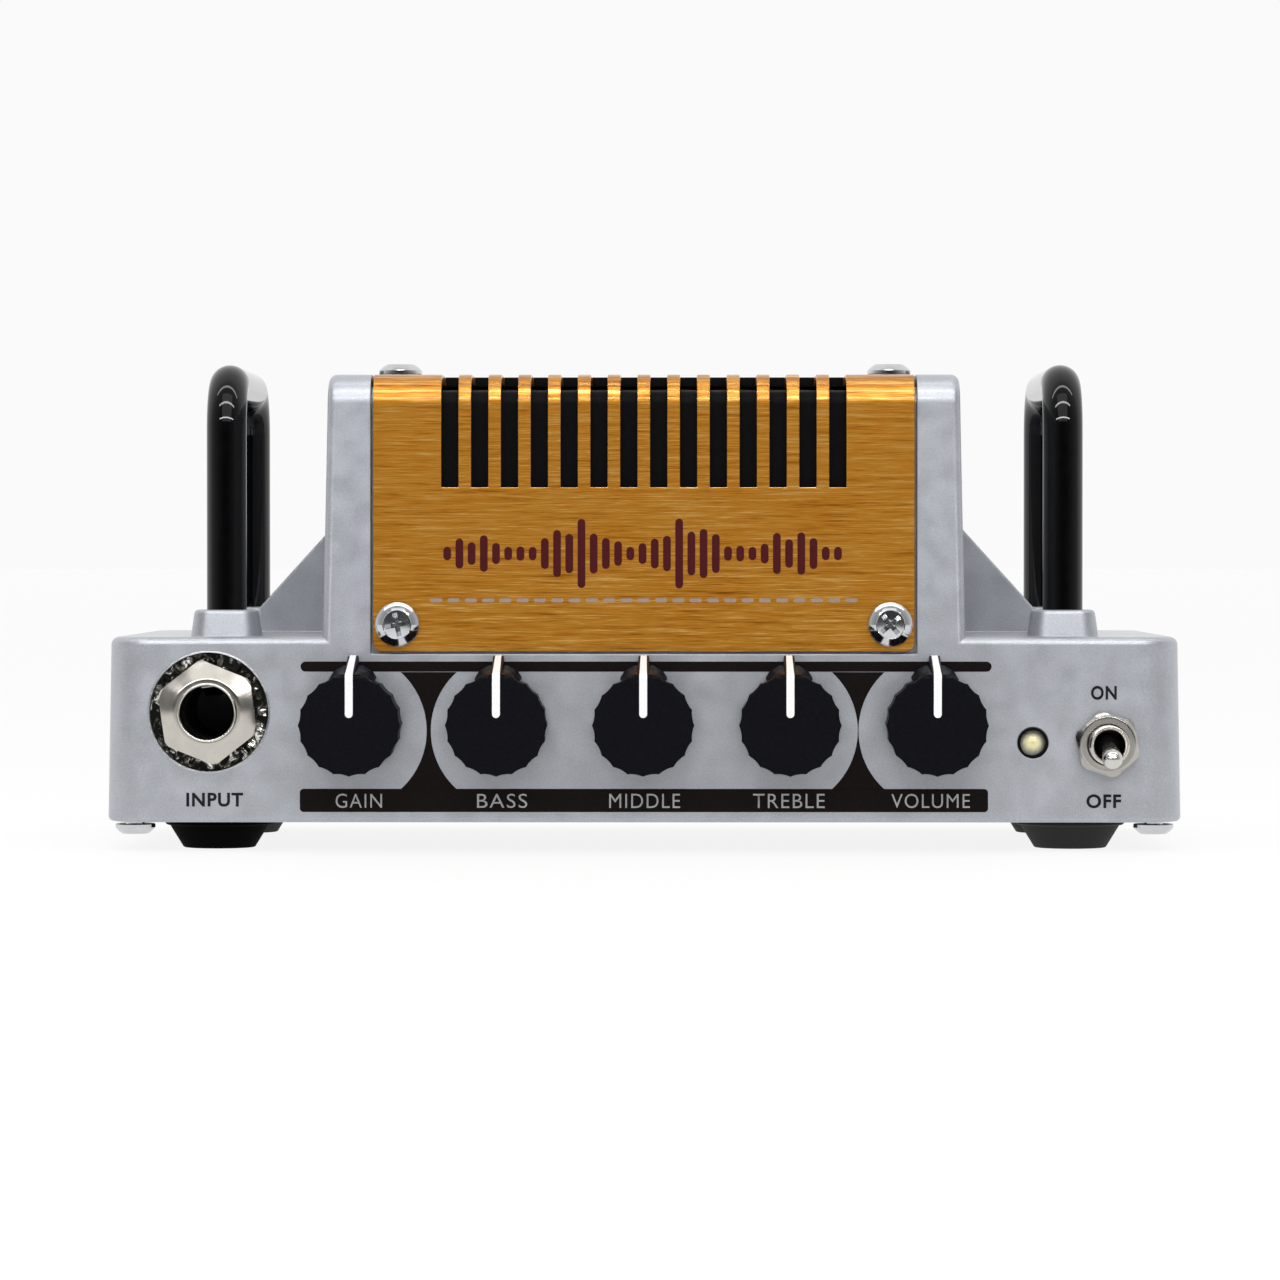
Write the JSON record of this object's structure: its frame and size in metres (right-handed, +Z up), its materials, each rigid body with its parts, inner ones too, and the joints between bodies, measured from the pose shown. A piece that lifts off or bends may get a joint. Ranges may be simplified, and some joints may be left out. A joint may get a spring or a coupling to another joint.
{
  "type": "guitar amplifier head",
  "caption": "Very small all-metal guitar amplifier head: low silver base, raised centre with a gold slotted cover, black rod handles, a row of rotary controls, jack sockets and a power lever.",
  "frame": {"origin": "on the floor below the middle of the overall box", "axes": "+X to the right seen from the front, -Y towards the player (the control panel), +Z up"},
  "size_m": [0.128, 0.075, 0.0587],
  "materials": {
    "silver_paint": "metallic silver paint with a fine sparkle, satin",
    "gold_sheet": "gold anodised sheet, brushed along its width",
    "black_steel": "black powder coat, matt",
    "gloss_black": "high-gloss black",
    "rubber": "matt black rubber",
    "zinc": "bright zinc plate",
    "nickel": "bright nickel plate",
    "black_plastic": "black moulded plastic, satin",
    "led_lens": "pale yellow clear resin",
    "circuit_board": "green solder mask",
    "aluminium": "plain aluminium"
  },
  "bodies": {
    "casing": {"aux_jack": "black_plastic", "base_screw_front_left": "zinc", "base_screw_front_right": "zinc", "base_screw_rear_left": "zinc", "base_screw_rear_right": "zinc", "bass_potentiometer": "zinc", "bottom_plate": "black_steel", "chassis": "silver_paint", "control_board": "circuit_board", "cover_screw_front_left": "zinc", "cover_screw_front_right": "zinc", "cover_screw_rear_left": "zinc", "cover_screw_rear_right": "zinc", "cover_screw_top_left": "zinc", "cover_screw_top_right": "zinc", "dc_inlet": "black_plastic", "foot_front_left": "rubber", "foot_front_right": "rubber", "foot_rear_left": "rubber", "foot_rear_right": "rubber", "gain_potentiometer": "zinc", "handle_left": "gloss_black", "handle_right": "gloss_black", "handle_screw_front_left": "zinc", "handle_screw_front_right": "zinc", "handle_screw_rear_left": "zinc", "handle_screw_rear_right": "zinc", "heat_sink": "aluminium", "input_jack": "nickel", "input_jack_nut": "nickel", "input_jack_washer": "nickel", "main_board": "circuit_board", "middle_potentiometer": "zinc", "phones_jack": "black_plastic", "power_led": "led_lens", "return_jack": "nickel", "return_jack_nut": "nickel", "send_jack": "nickel", "send_jack_nut": "nickel", "speaker_jack": "nickel", "speaker_jack_nut": "nickel", "toggle_body": "nickel", "toggle_nut": "nickel", "tower_cover": "gold_sheet", "treble_potentiometer": "zinc", "vent_liner": "black_steel", "volume_potentiometer": "zinc"},
    "gain_control": {"gain_knob": "black_plastic", "gain_shaft": "aluminium"},
    "bass_control": {"bass_knob": "black_plastic", "bass_shaft": "aluminium"},
    "middle_control": {"middle_knob": "black_plastic", "middle_shaft": "aluminium"},
    "treble_control": {"treble_knob": "black_plastic", "treble_shaft": "aluminium"},
    "volume_control": {"volume_knob": "black_plastic", "volume_shaft": "aluminium"},
    "power_lever": {"toggle_lever": "nickel"}
  },
  "joints": [
    {"name": "gain_turn", "type": "hinge", "parent": "casing", "child": "gain_control", "pos_m": [-0.0344, -0.0275, 0.0153], "axis": [0, 1, 0], "range_deg": [-150, 150]},
    {"name": "bass_turn", "type": "hinge", "parent": "casing", "child": "bass_control", "pos_m": [-0.0172, -0.0275, 0.0153], "axis": [0, 1, 0], "range_deg": [-150, 150]},
    {"name": "middle_turn", "type": "hinge", "parent": "casing", "child": "middle_control", "pos_m": [0, -0.0275, 0.0153], "axis": [0, 1, 0], "range_deg": [-150, 150]},
    {"name": "treble_turn", "type": "hinge", "parent": "casing", "child": "treble_control", "pos_m": [0.0172, -0.0275, 0.0153], "axis": [0, 1, 0], "range_deg": [-150, 150]},
    {"name": "volume_turn", "type": "hinge", "parent": "casing", "child": "volume_control", "pos_m": [0.0344, -0.0275, 0.0153], "axis": [0, 1, 0], "range_deg": [-150, 150]},
    {"name": "power_flip", "type": "hinge", "parent": "casing", "child": "power_lever", "pos_m": [0.0549, -0.0295, 0.0128], "axis": [-1, 0, 0], "range_deg": [0, 25]}
  ]
}
